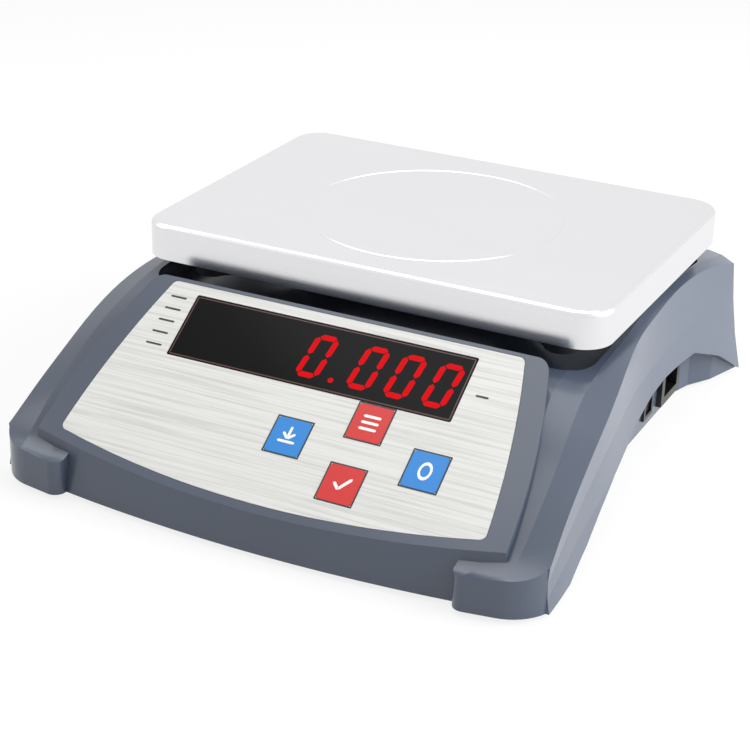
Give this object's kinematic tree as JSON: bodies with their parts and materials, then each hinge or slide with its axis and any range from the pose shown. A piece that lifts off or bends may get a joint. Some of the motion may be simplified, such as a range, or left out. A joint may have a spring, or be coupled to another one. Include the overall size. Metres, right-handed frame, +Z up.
{
  "type": "counting scale",
  "caption": "Bench counting scale: grey two-part housing, lift-off steel pan, sloping panel with red digits and keys, side power inlet and adjustable feet.",
  "frame": {"origin": "on the ground under the middle of the housing's plan", "axes": "+Z up, +Y from the control panel to the rear, +X to the right when facing the panel"},
  "size_m": [0.343, 0.371, 0.124],
  "materials": {
    "housing_abs": "moulded ABS, semi-gloss blue-grey",
    "stainless_pan": "drawn stainless sheet, satin polished",
    "label_film": "printed polycarbonate film, brushed silver print",
    "window_acrylic": "smoked acrylic, polished",
    "key_blue": "moulded ABS, blue",
    "key_red": "moulded ABS, red",
    "support_casting": "die-cast, painted dark",
    "foot_rubber": "moulded rubber",
    "buffer_rubber": "moulded rubber",
    "zinc_steel": "zinc-plated steel",
    "cell_aluminium": "machined aluminium",
    "frame_steel": "folded steel sheet, zinc-plated",
    "brass_insert": "turned brass",
    "board_laminate": "glass-epoxy laminate, green solder resist",
    "component_black": "moulded epoxy and plastic",
    "digit_plastic": "moulded plastic with red segments",
    "lamp_epoxy": "clear red epoxy",
    "battery_case": "moulded ABS battery case",
    "core_steel": "laminated silicon steel",
    "coil_tape": "copper coil under polyester tape",
    "inlet_plastic": "moulded black nylon",
    "inlet_brass": "nickel-plated brass",
    "vial_acrylic": "clear acrylic over green liquid",
    "vial_cup": "moulded black ABS",
    "cable_jacket": "PVC jacket",
    "wire_insulation": "PVC insulation"
  },
  "bodies": {
    "housing": {"top_housing": "housing_abs", "bottom_housing": "housing_abs", "battery_door": "housing_abs", "pan_spider": "support_casting", "pan_studs": "buffer_rubber", "load_cell": "cell_aluminium", "load_cell_spacer_lower": "cell_aluminium", "load_cell_spacer_upper": "cell_aluminium", "load_cell_bolts_lower": "zinc_steel", "load_cell_bolts_upper": "zinc_steel", "base_frame": "frame_steel", "base_frame_screws": "zinc_steel", "overload_stop_screw": "zinc_steel", "faceplate_label": "label_film", "display_window": "window_acrylic", "display_board": "board_laminate", "display_board_posts": "brass_insert", "digit_modules": "digit_plastic", "indicator_lamps": "lamp_epoxy", "key_switches": "component_black", "main_board": "board_laminate", "main_board_parts": "component_black", "main_board_screws": "zinc_steel", "battery": "battery_case", "battery_terminals": "inlet_brass", "battery_clamp": "frame_steel", "battery_clamp_screws": "zinc_steel", "transformer_core": "core_steel", "transformer_coil": "coil_tape", "transformer_bracket": "frame_steel", "transformer_screws": "zinc_steel", "power_inlet": "inlet_plastic", "power_inlet_pins": "inlet_brass", "switch_body": "inlet_plastic", "foot_inserts": "brass_insert", "housing_screws": "zinc_steel", "level_vial_cup": "vial_cup", "level_vial_lens": "vial_acrylic", "load_cell_cable": "cable_jacket", "battery_leads": "wire_insulation", "display_ribbon": "cable_jacket", "mains_leads": "wire_insulation"},
    "pan": {"weighing_pan": "stainless_pan"},
    "tare_key": {"key_tare": "key_blue"},
    "mode_key": {"key_mode": "key_red"},
    "set_key": {"key_set": "key_red"},
    "zero_key": {"key_zero": "key_blue"},
    "rocker": {"switch_rocker": "inlet_plastic"},
    "front_left_pad": {"foot_pad_front_left": "foot_rubber"},
    "front_left_stud": {"foot_stud_front_left": "zinc_steel"},
    "front_right_pad": {"foot_pad_front_right": "foot_rubber"},
    "front_right_stud": {"foot_stud_front_right": "zinc_steel"},
    "rear_left_pad": {"foot_pad_rear_left": "foot_rubber"},
    "rear_left_stud": {"foot_stud_rear_left": "zinc_steel"},
    "rear_right_pad": {"foot_pad_rear_right": "foot_rubber"},
    "rear_right_stud": {"foot_stud_rear_right": "zinc_steel"}
  },
  "joints": [
    {"name": "pan_lift", "type": "slide", "parent": "housing", "child": "pan", "axis": [0, 0, 1], "range_m": [0, 0.05]},
    {"name": "tare_key_press", "type": "slide", "parent": "housing", "child": "tare_key", "axis": [0, 0.5548, -0.832], "range_m": [0, 0.0005], "stiffness_N_per_m": 1500, "springref_m": -0.0005},
    {"name": "mode_key_press", "type": "slide", "parent": "housing", "child": "mode_key", "axis": [0, 0.5548, -0.832], "range_m": [0, 0.0005], "stiffness_N_per_m": 1500, "springref_m": -0.0005},
    {"name": "set_key_press", "type": "slide", "parent": "housing", "child": "set_key", "axis": [0, 0.5548, -0.832], "range_m": [0, 0.0005], "stiffness_N_per_m": 1500, "springref_m": -0.0005},
    {"name": "zero_key_press", "type": "slide", "parent": "housing", "child": "zero_key", "axis": [0, 0.5548, -0.832], "range_m": [0, 0.0005], "stiffness_N_per_m": 1500, "springref_m": -0.0005},
    {"name": "power_rocker", "type": "hinge", "parent": "housing", "child": "rocker", "pos_m": [0.137, 0.068, 0.02075], "axis": [0, -1, 0], "range_deg": [0, 20]},
    {"name": "front_left_foot_height", "type": "slide", "parent": "housing", "child": "front_left_pad", "axis": [0, 0, -1], "range_m": [0, 0.006]},
    {"name": "front_left_foot_turn", "type": "hinge", "parent": "front_left_pad", "child": "front_left_stud", "pos_m": [-0.14, -0.15, 0.009], "axis": [0, 0, -1], "range_deg": [0, 1720]},
    {"name": "front_right_foot_height", "type": "slide", "parent": "housing", "child": "front_right_pad", "axis": [0, 0, -1], "range_m": [0, 0.006]},
    {"name": "front_right_foot_turn", "type": "hinge", "parent": "front_right_pad", "child": "front_right_stud", "pos_m": [0.14, -0.15, 0.009], "axis": [0, 0, -1], "range_deg": [0, 1720]},
    {"name": "rear_left_foot_height", "type": "slide", "parent": "housing", "child": "rear_left_pad", "axis": [0, 0, -1], "range_m": [0, 0.006]},
    {"name": "rear_left_foot_turn", "type": "hinge", "parent": "rear_left_pad", "child": "rear_left_stud", "pos_m": [-0.132, 0.16, 0.009], "axis": [0, 0, -1], "range_deg": [0, 1720]},
    {"name": "rear_right_foot_height", "type": "slide", "parent": "housing", "child": "rear_right_pad", "axis": [0, 0, -1], "range_m": [0, 0.006]},
    {"name": "rear_right_foot_turn", "type": "hinge", "parent": "rear_right_pad", "child": "rear_right_stud", "pos_m": [0.132, 0.16, 0.009], "axis": [0, 0, -1], "range_deg": [0, 1720]}
  ],
  "couplings": [
    {"joint": "front_left_foot_height", "follows": "front_left_foot_turn", "m_per_rad": 0.00019894},
    {"joint": "front_right_foot_height", "follows": "front_right_foot_turn", "m_per_rad": 0.00019894},
    {"joint": "rear_left_foot_height", "follows": "rear_left_foot_turn", "m_per_rad": 0.00019894},
    {"joint": "rear_right_foot_height", "follows": "rear_right_foot_turn", "m_per_rad": 0.00019894}
  ]
}
